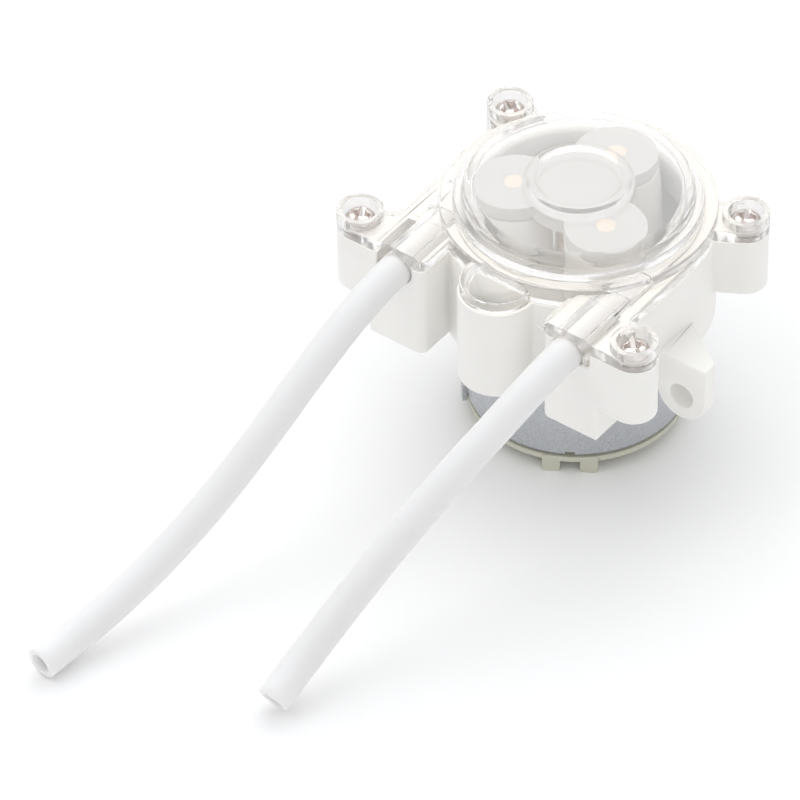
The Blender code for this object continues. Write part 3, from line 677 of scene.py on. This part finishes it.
def block_outline():
    corner = (BLOCK_X + BLOCK_CORNER, FRONT_Y + BLOCK_CORNER)
    front_inner = arc(corner, BLOCK_CORNER, 180, 270, 10)
    return front_inner + [(WALL_X, FRONT_Y), (WALL_X, 0.0), (BLOCK_X, 0.0)]


def front_boss_outline():
    """A screw boss flush with the front of its block, and filleted to the block's side behind."""
    fillet_x = WALL_X + BOSS_FILLET
    across = fillet_x - FRONT_BOSS[0]
    back = sqrt((BOSS_R + BOSS_FILLET) ** 2 - across ** 2)
    contact = degrees(atan2(back, across))
    fillet_centre = (fillet_x, FRONT_BOSS[1] + back)
    outline = arc(FRONT_BOSS, BOSS_R, -90, contact, round((contact + 90) / BOSS_STEP))
    outline += arc(fillet_centre, BOSS_FILLET, contact - 180, -180, 10)[1:]
    inside = WALL_X - 1.2
    return outline + [(inside, fillet_centre[1]), (inside, FRONT_Y)]


def back_boss_outline():
    """A screw boss on a web of its own width, along x from the body."""
    inside = BODY_R - 1.5
    outline = arc((BACK_BOSS_REACH, 0), BOSS_R, -90, 90, BOSS_SIDES // 2)
    return outline + [(inside, BOSS_R), (inside, -BOSS_R)]


def lobe_outline(radius):
    """The round lobe between the tube blocks, and its straight sides back into the body."""
    return arc((0, LOBE_Y), radius, 180, 360, 48) + [(radius, -CHAMBER_R), (-radius, -CHAMBER_R)]


def pocket_outline(radius):
    """The lobe's pocket: round in front and straight behind, where the chamber's wall passes."""
    reach = degrees(asin((POCKET_BACK - LOBE_Y) / radius))
    return arc((0, LOBE_Y), radius, 180 - reach, 360 + reach, 56)


def boss_turrets(low, high):
    """The four round bosses, each with the same corners as its outline above."""
    for flip in (False, True):
        for centre, angle in ((FRONT_BOSS, 0), ((BACK_BOSS_REACH, 0), BACK_BOSS_ANGLE)):
            outline = arc(centre, BOSS_R, -90, 270 - BOSS_STEP, BOSS_SIDES - 1)
            turret = turn(prism(outline, low, high), angle)
            yield mirrored(turret) if flip else turret


def footprint(top, body, block, boss, lobe):
    """The housing's shape up to one top, from a bottom each for the body, the blocks and the bosses."""
    shape = cylinder(BODY_R, body, top, segments=160)
    unite(shape, prism(lobe_outline(lobe), block, top))
    for flip in (False, True):
        for part in (
            prism(block_outline(), block, top),
            prism(front_boss_outline(), boss, top),
            turn(prism(back_boss_outline(), boss, top), BACK_BOSS_ANGLE),
        ):
            unite(shape, mirrored(part) if flip else part)
    return shape


# ---------------------------------------------------------------- white base

def ear():
    """The right mounting ear: a plate with a round foot, which thickens back towards the body's wall."""
    edge = EAR_X + EAR_R
    outline = arc((EAR_X, EAR_Z), EAR_R, 180, 360, 32) + [(edge, EAR_TOP), (EAR_X - EAR_R, EAR_TOP)]
    plate = prism(outline, EAR_FRONT, EAR_ROOT_BACK + 1, axis="Y")
    inside = EAR_X - EAR_R - 1
    wedge = [
        (inside, EAR_FRONT), (edge, EAR_FRONT), (edge, EAR_TIP_BACK), (WALL_X, EAR_ROOT_BACK),
        (inside, EAR_ROOT_BACK),
    ]
    combine(plate, prism(wedge, EAR_Z - 2 * EAR_R, EAR_TOP + 5), "INTERSECT")
    root = (WALL_X - 2, EAR_X - EAR_R + 0.5)
    unite(plate, box(root, (EAR_FRONT, EAR_ROOT_BACK), (BODY_R - 0.1, EAR_TOP)))
    return plate


def ear_hole():
    return prism(arc((EAR_X, EAR_Z), EAR_HOLE_R, 0, 352.5, 47), EAR_FRONT - 4, EAR_ROOT_BACK + 4, axis="Y")


def tube_slot(side, half_width, top):
    """The round-bottomed slot under a clamp, open at the block's front."""
    x = side * TUBE_X
    outline = [*arc((x, TUBE_Z), half_width, 180, 360, 24), (x + half_width, top), (x - half_width, top)]
    return prism(outline, FRONT_Y - 1, SLOT_BACK, axis="Y")


def pump_base():
    shape = footprint(BASE_TOP, BASE_LOW, BLOCK_LOW, BOSS_LOW, LOBE_R)
    unite(shape, ear(), mirrored(ear()))
    above = BASE_TOP + 1
    cut(shape, cylinder(CHAMBER_R, CHAMBER_LOW, above, segments=128))
    cut(shape, cylinder(CAN_R + 0.2, BASE_LOW - 1, CAN_TOP + 0.2, segments=128))
    cut(shape, cylinder(NOSE_R + 0.3, CAN_ROOF, CHAMBER_LOW + 1))
    cut(shape, prism(pocket_outline(POCKET_R), BLOCK_LOW + 2, above))
    for side in (-1, 1):
        cut(shape, tube_slot(side, TUBE_R + 0.05, above))
        cut(shape, box((side * CHANNEL_X, side * CHAMBER_R), (CHANNEL_FRONT, 0), (CHANNEL_LOW, above)))
        notch = ((side * TUBE_X, side * NOTCH_X), (FRONT_Y - 1, CLAMP_BACK + 0.2), (LEG_LOW - 0.2, above))
        cut(shape, box(*notch))
        cut(shape, cylinder(1.25, CAN_ROOF, CHAMBER_LOW + 1, (side * MOTOR_SCREW_X, 0), 24))
        for x, y in (FRONT_BOSS, BACK_BOSS):
            cut(shape, cylinder(1.3, 27, above, (side * x, y), 24))
    cut(shape, ear_hole(), mirrored(ear_hole()))
    soften(shape, 0.22, seams=(0, MOTOR_SCREW_X, BACK_BOSS[0], FRONT_BOSS[0]))
    piece(shape, "moulded_base", WHITE_ABS, "housing", "pump_base")


# ---------------------------------------------------------------- clear cover

def clamp_block(side):
    """The thick part of the cover over one tube, with the leg that fills the base's notch."""
    inner, outer, chamfer = 10.6, 18.4, 0.7
    bottom = PLATE_TOP - 1
    outline = [
        (inner, bottom), (outer, bottom), (outer, CLAMP_TOP - chamfer), (outer - chamfer, CLAMP_TOP),
        (inner + chamfer, CLAMP_TOP), (inner, CLAMP_TOP - chamfer),
    ]
    shape = prism(outline, FRONT_Y, CLAMP_BACK, axis="Y")
    ridge = ((TUBE_X - 3.3, TUBE_X + 3.3), (CLAMP_BACK - 1, RIDGE_BACK), (bottom, CLAMP_TOP - 0.1))
    leg = ((TUBE_X + 2, TUBE_X + 3.45), (FRONT_Y, CLAMP_BACK), (LEG_LOW, PLATE_TOP - 0.5))
    unite(shape, box(*ridge), box(*leg))
    return shape if side > 0 else mirrored(shape)


def bead_profile(steps=10):
    """The ring on the drum's top, from its outer foot to its inner foot: one smooth wave."""
    profile = []
    for k in range(steps + 1):
        share = k / steps
        radius = BEAD_OUTER_R + (BEAD_INNER_R - BEAD_OUTER_R) * share
        profile.append((radius, DRUM_TOP + BEAD_HEIGHT * sin(pi * share) ** 2))
    return profile


def dome_profile():
    """Outside of the flange, the step and the drum, up to the middle of the drum's top."""
    corners = [
        (0, COVER_LOW), (BODY_R, COVER_LOW), (BODY_R, FLANGE_TOP), (STEP_R, FLANGE_TOP), (STEP_R, STEP_TOP),
        (DRUM_R, STEP_TOP), (DRUM_R, DRUM_TOP),
    ]
    return rounded(corners, [0, 0, 0.35, 0.15, 0.35, 0.15, 1.3]) + bead_profile() + [(0, DRUM_TOP)]


def cavity_profile(below):
    """Inside of the flange and the drum."""
    corners = [
        (0, below), (CHAMBER_R, below), (CHAMBER_R, FLANGE_UNDER), (DRUM_INNER_R, FLANGE_UNDER),
        (DRUM_INNER_R, DRUM_UNDER), (0, DRUM_UNDER),
    ]
    return rounded(corners, [0, 0, 0.25, 0.25, 0.8, 0])


def top_cover():
    plate = footprint(PLATE_TOP, COVER_LOW, COVER_LOW, COVER_LOW, HOOD_R)
    unite(plate, turned(dome_profile(), 160))
    unite(plate, stacked(lobe_outline, HOOD_R, COVER_LOW, HOOD_TOP, 2.0))
    unite(plate, clamp_block(-1), clamp_block(1), *boss_turrets(COVER_LOW, FLANGE_TOP))
    below = COVER_LOW - 1
    deep = LEG_LOW - 2
    cut(plate, turned(cavity_profile(below), 160))
    cut(plate, stacked(pocket_outline, POCKET_R, below, POCKET_TOP, 1.2))
    for side in (-1, 1):
        tube = arc((side * TUBE_X, TUBE_Z), TUBE_R + 0.1, 0, 180, 24)
        outline = [*tube, (tube[-1][0], deep), (tube[0][0], deep)]
        cut(plate, prism(outline, FRONT_Y - 1, SLOT_BACK, axis="Y"))
        channel = (side * (CHANNEL_X + 0.2), side * (CHAMBER_R - 0.1))
        cut(plate, box(channel, (CHANNEL_FRONT, RIDGE_BACK), (deep, PLATE_TOP - 0.05)))
        cut(plate, box(channel, (RIDGE_BACK - 0.1, 0), (deep, FLANGE_UNDER - 0.4)))
        for x, y in (FRONT_BOSS, BACK_BOSS):
            cut(plate, cylinder(WELL_R, WELL_LOW, FLANGE_TOP + 1, (side * x, y)))
            cut(plate, cylinder(1.4, below, FLANGE_TOP, (side * x, y), 32))
    soften(plate, 0.1, 2, seams=(0, BACK_BOSS[0], FRONT_BOSS[0]))
    piece(plate, "clear_cover", CLEAR, "housing", "top_cover")


# ---------------------------------------------------------------- screws

def cover_screw(name, place, angle):
    """A pan-head screw with a tapered cross recess."""
    low, high = span(name)
    radius, head_low = 2.35, WELL_LOW + GAP
    edge = head_low + 0.25
    profile = [(0, low), (1.0, low), (1.2, low + 0.2), (1.2, head_low), (radius - 0.12, head_low)]
    steps = 12
    for k in range(steps):
        rise = pi / 2 * k / steps
        profile.append((radius * cos(rise) ** 0.8, edge + (high - edge) * sin(rise) ** 1.1))
    shape = turned([*profile, (0, high)], 64)
    above = high + 0.2
    arm = [(-0.6, high - 1.25), (0.6, high - 1.25), (1.95, above), (-1.95, above)]
    for quarter in (0, 90):
        cut(shape, turn(prism(arm, -0.42, 0.42, axis="Y"), radians(quarter)))
    cut(shape, turned([(0, high - 1.35), (0.8, high - 0.5), (1.05, above), (0, above)], 16))
    soften(shape, 0.05, 2)
    moved(turn(shape, angle), *place, 0)
    piece(shape, name + "_head", NICKEL, "housing", name)


def motor_screw(name, place):
    """A small cross-head screw that stands on the chamber's floor."""
    low, high = span(name)
    head_low = CHAMBER_LOW + GAP
    corners = [(0, low), (1.1, low), (1.1, head_low), (2.0, head_low), (2.0, high), (0, high)]
    shape = turned(rounded(corners, [0, 0.2, 0, 0.1, 0.4, 0], 5), 48)
    for quarter in (0, 90):
        cut(shape, turn(box((-1.1, 1.1), (-0.25, 0.25), (high - 0.5, high + 1)), radians(quarter)))
    soften(shape, 0.04, 2)
    piece(moved(shape, *place, 0), name + "_head", NICKEL, "housing", name)


# ---------------------------------------------------------------- rotor

def roller_centres():
    angles = [radians(90 + 120 * i) for i in range(3)]
    return [(ROLLER_PITCH * cos(a), ROLLER_PITCH * sin(a)) for a in angles]


def roller(number, centre):
    bore = PIN_R + 0.35
    corners = [(ROLLER_R, ROLLER_LOW), (ROLLER_R, ROLLER_TOP), (bore, ROLLER_TOP), (bore, ROLLER_LOW)]
    shape = turned(rounded(corners, [0.4, 0.4, 0.15, 0.15], 4), 64, centre)
    piece(shape, f"roller_{number}_wheel", WHITE_POM, f"roller_{number}", f"roller_{number}")


def roller_pin(number, centre):
    low, high = span(f"roller_pin_{number}")
    head_r, head_low = PIN_R + 0.5, high - 0.3
    corners = [(0, low), (PIN_R, low), (PIN_R, head_low), (head_r, head_low), (head_r, high), (0, high)]
    shape = turned(rounded(corners, [0, 0.15, 0, 0, 0.2, 0], 4), 40, centre)
    piece(shape, f"roller_pin_{number}_rivet", PALE_BRASS, "rotor", f"roller_pin_{number}")


def carriers():
    """The rotor's disc under the rollers, and its three-lobed plate over them."""
    low, high = span("lower_carrier")
    disc = turned([(DISC_R, low), (DISC_R, high), (SLEEVE_HOLE_R, high), (SLEEVE_HOLE_R, low)], 96)
    low, high = span("upper_carrier")
    spider = cylinder(SPIDER_R, low, high, segments=96)
    for centre in roller_centres():
        unite(spider, cylinder(SPIDER_LOBE_R, low, high, centre))
    cut(spider, cylinder(SHAFT_HOLE_R, low - 1, SHAFT_TOP + 0.3, segments=32))
    for shape in (disc, spider):
        for centre in roller_centres():
            cut(shape, cylinder(PIN_R + GAP, BASE_LOW, DRUM_TOP, centre, 32))
        soften(shape, 0.15, 2, seams=(0, roller_centres()[2][0]))
    piece(disc, "lower_carrier_plate", WHITE_POM, "rotor", "lower_carrier")
    piece(spider, "upper_carrier_spider", GREY_POM, "rotor", "upper_carrier")


# ---------------------------------------------------------------- motor

def crimp_tab(inner, low):
    """A tab outside the can, which reaches down over the end cap's rim."""
    outline = arc((0, 0), CAN_R + 0.65, *CRIMP_ANGLES, 8)
    outline += arc((0, 0), inner, *CRIMP_ANGLES[::-1], 8)
    return prism(outline, low, CAN_LOW + 1.8)


def motor_can():
    """The drawn can, from its open lower end to the nose round the front bush."""
    corners = [
        (CAN_R, CAN_LOW), (CAN_R, CAN_TOP), (NOSE_R, CAN_TOP), (NOSE_R, NOSE_TOP), (BUSH_R, NOSE_TOP),
        (BUSH_R, CAN_ROOF), (CAN_INNER_R, CAN_ROOF), (CAN_INNER_R, CAN_LOW),
    ]
    shape = turned(rounded(corners, [0.9, 0.9, 0.3, 0.2, 0, 0, 0.6, 0], 6), 160)
    notch = box((CAN_INNER_R - 1, CAN_R + 1), (-0.7, 0.7), (CAN_LOW - 1, CAN_LOW + 1))
    cut(shape, turn(notch, KEY_ANGLE))
    unite(shape, crimp_tab(CAN_R - 0.4, CAN_LOW + 0.3), crimp_tab(CAN_R, CAP_RIM_LOW + GAP))
    for side in (-1, 1):
        cut(shape, cylinder(1.2, CAN_ROOF - 1, NOSE_TOP, (side * MOTOR_SCREW_X, 0), 24))
    piece(shape, "motor_can_shell", ZINC, "housing", "motor_can")


def foot(angle, offset):
    """A round-cornered foot under the cap's rim, beside the radius at this angle."""
    left, right, top = offset - 1.28, offset + 1.28, CAP_RIM_TOP - GAP
    outline = rounded([(left, top), (left, 0), (right, 0), (right, top)], [0, 0.7, 0.7, 0])
    return turn(prism(outline, 0.25 - CAP_R, -CAP_INNER_R, axis="Y"), angle + pi / 2)


def motor_end_cap():
    """The cap: a rim under the can, a spigot inside it, and the rear bush's boss in the middle."""
    floor_top, boss_top, bush_low, dimple = 3.8, 4.3, 1.8, 0.9
    corners = [
        (0, 0), (3.4, 0), (3.4, CAP_RIM_LOW), (CAP_R, CAP_RIM_LOW), (CAP_R, CAP_RIM_TOP),
        (CAP_SPIGOT_R, CAP_RIM_TOP), (CAP_SPIGOT_R, 5.0), (CAP_INNER_R, 5.0), (CAP_INNER_R, floor_top),
        (4.0, floor_top), (4.0, boss_top), (BUSH_R, boss_top), (BUSH_R, bush_low), (1.5, bush_low),
        (1.5, dimple), (0, dimple),
    ]
    radii = [0, 0.4, 0.3, 0.25, 0, 0, 0.1] + [0] * 9
    shape = turned(rounded(corners, radii, 4), 128)
    for angle in (KEY_ANGLE, KEY_ANGLE + pi):
        unite(shape, foot(angle, -2.68), foot(angle, 2.68))
    for side in (-1, 1):
        cut(shape, box((8.6, 11.4), (side * 2.8, side * 3.8), (1, 6)))
    soften(shape, 0.08, 2, seams=(0, 10))
    piece(shape, "end_cap_moulding", NYLON, "housing", "motor_end_cap")


def paint_hidden_nodes():
    """Materials for the CAD nodes whose own shape stays."""
    finishes = {
        "motor_shaft": STEEL, "drive_sleeve": BRASS, "armature_core": IRON, "winding_1": COPPER,
        "winding_2": COPPER, "winding_3": COPPER, "commutator": COPPER, "front_bush": BRONZE,
        "rear_bush": BRONZE, "magnet_left": FERRITE, "magnet_right": FERRITE, "brush_front": COPPER,
        "brush_rear": COPPER, "terminal_front": BRASS, "terminal_rear": BRASS,
    }
    for name, finish in finishes.items():
        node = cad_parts[name]
        node.data.materials.clear()
        node.data.materials.append(finish)


# ---------------------------------------------------------------- room and lights

def floor():
    """A square of pale paper, six metres across."""
    bm = bmesh.new()
    sides = (-3, -3), (3, -3), (3, 3), (-3, 3)
    bm.faces.new([bm.verts.new((x, y, 0)) for x, y in sides])
    made = object_from(bm)
    made.name = "floor"
    paper, tree, shader, where = new_material("paper")
    tint = ramp(tree, noise(tree, where, 6, 2), [(0.3, (0.97, 0.97, 0.97)), (0.7, (0.98, 0.98, 0.98))])
    tree.links.new(tint, shader.inputs["Base Color"])
    shader.inputs["Roughness"].default_value = 0.9
    shader.inputs["Specular IOR Level"].default_value = 0.1
    made.data.materials.append(paper)


def soft_box(name, place, size, power):
    """A square lamp that faces the pump."""
    data = bpy.data.lights.new(name, "AREA")
    data.size = size
    data.energy = power
    lamp = bpy.data.objects.new(name, data)
    lamp.location = place
    aim = Vector((0, -0.03, 0.02)) - Vector(place)
    lamp.rotation_euler = aim.to_track_quat("-Z", "Y").to_euler()
    bpy.context.scene.collection.objects.link(lamp)


def surroundings():
    """White surroundings, brighter and cooler above, with one soft bright zone behind the pump."""
    world = bpy.data.worlds.new("studio")
    world.use_nodes = True
    tree = world.node_tree
    direction = tree.nodes.new("ShaderNodeTexCoord").outputs["Generated"]
    height = tree.nodes.new("ShaderNodeSeparateXYZ")
    brightness = tree.nodes.new("ShaderNodeMapRange")
    brightness.inputs["To Min"].default_value = 0.42
    brightness.inputs["To Max"].default_value = 0.95
    tree.links.new(direction, height.inputs["Vector"])
    tree.links.new(height.outputs["Z"], brightness.inputs["Value"])
    towards = tree.nodes.new("ShaderNodeVectorMath")
    towards.operation = "DOT_PRODUCT"
    towards.inputs[1].default_value = (-0.451, 0.586, 0.673)
    tree.links.new(direction, towards.inputs[0])
    window = tree.nodes.new("ShaderNodeMapRange")
    window.interpolation_type = "SMOOTHSTEP"
    window.inputs["From Min"].default_value = 0.6
    window.inputs["From Max"].default_value = 0.97
    window.inputs["To Max"].default_value = 0.9
    tree.links.new(towards.outputs["Value"], window.inputs["Value"])
    total = tree.nodes.new("ShaderNodeMath")
    tree.links.new(brightness.outputs["Result"], total.inputs[0])
    tree.links.new(window.outputs["Result"], total.inputs[1])
    tree.links.new(total.outputs["Value"], tree.nodes["Background"].inputs["Strength"])
    warmth = ramp(tree, height.outputs["Z"], [(0.0, (1.0, 0.91, 0.86)), (0.6, (0.97, 0.985, 1.0))])
    tree.links.new(warmth, tree.nodes["Background"].inputs["Color"])
    bpy.context.scene.world = world


# ---------------------------------------------------------------- assembly

add_camera()
hose("inlet_hose", INLET_ROUTE)
hose("outlet_hose", OUTLET_ROUTE)
pump_tube()
pump_base()
top_cover()
for number, (corner, place) in enumerate(SCREW_PLACES.items()):
    cover_screw("cover_screw_" + corner, place, radians(18 + 31 * number))
for number, centre in enumerate(roller_centres(), 1):
    roller(number, centre)
    roller_pin(number, centre)
carriers()
motor_can()
motor_end_cap()
motor_screw("motor_screw_left", (-MOTOR_SCREW_X, 0))
motor_screw("motor_screw_right", (MOTOR_SCREW_X, 0))
paint_hidden_nodes()
floor()
surroundings()
soft_box("key", (-0.5, -0.5, 0.9), 0.7, 1.4)
soft_box("fill", (0.7, -0.3, 0.6), 0.8, 0.75)
bpy.context.scene.view_settings.view_transform = "Standard"
